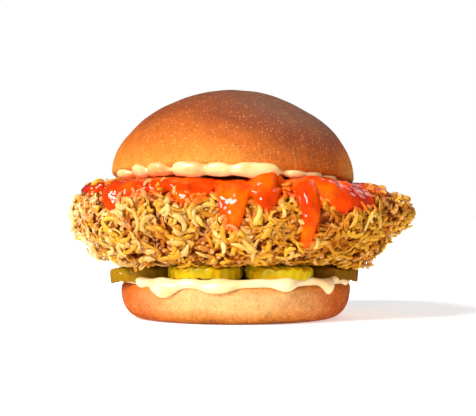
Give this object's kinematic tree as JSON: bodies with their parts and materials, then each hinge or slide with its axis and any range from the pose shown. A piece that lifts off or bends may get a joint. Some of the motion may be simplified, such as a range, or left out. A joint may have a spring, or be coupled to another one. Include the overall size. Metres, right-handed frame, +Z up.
{
  "type": "fried chicken burger",
  "caption": "Fried chicken burger: domed bun, cream sauce, dripping hot sauce, wide craggy fillet, crinkle-cut pickles and a flat-based heel it rests on",
  "frame": {"origin": "the middle of the heel's base, on the surface the burger stands on", "axes": "+Z up; -Y is the front, the side the picture shows; +X is to the right as seen from the front, along the fillet's length"},
  "size_m": [0.1436, 0.1151, 0.0962],
  "materials": {
    "bun_crust": "satin browned bread crust",
    "cream_sauce": "glossy cream sauce",
    "hot_sauce": "very glossy orange-red sauce",
    "fried_coating": "crisp golden fried batter",
    "pickle": "wet yellow-green pickle"
  },
  "bodies": {
    "root": {"bun_heel": "bun_crust", "cream_lower": "cream_sauce", "pickle_1": "pickle", "pickle_2": "pickle", "pickle_3": "pickle", "pickle_4": "pickle", "pickle_5": "pickle", "pickle_6": "pickle", "pickle_7": "pickle", "chicken_fillet": "fried_coating", "hot_sauce": "hot_sauce", "cream_upper": "cream_sauce", "bun_crown": "bun_crust"}
  },
  "joints": []
}
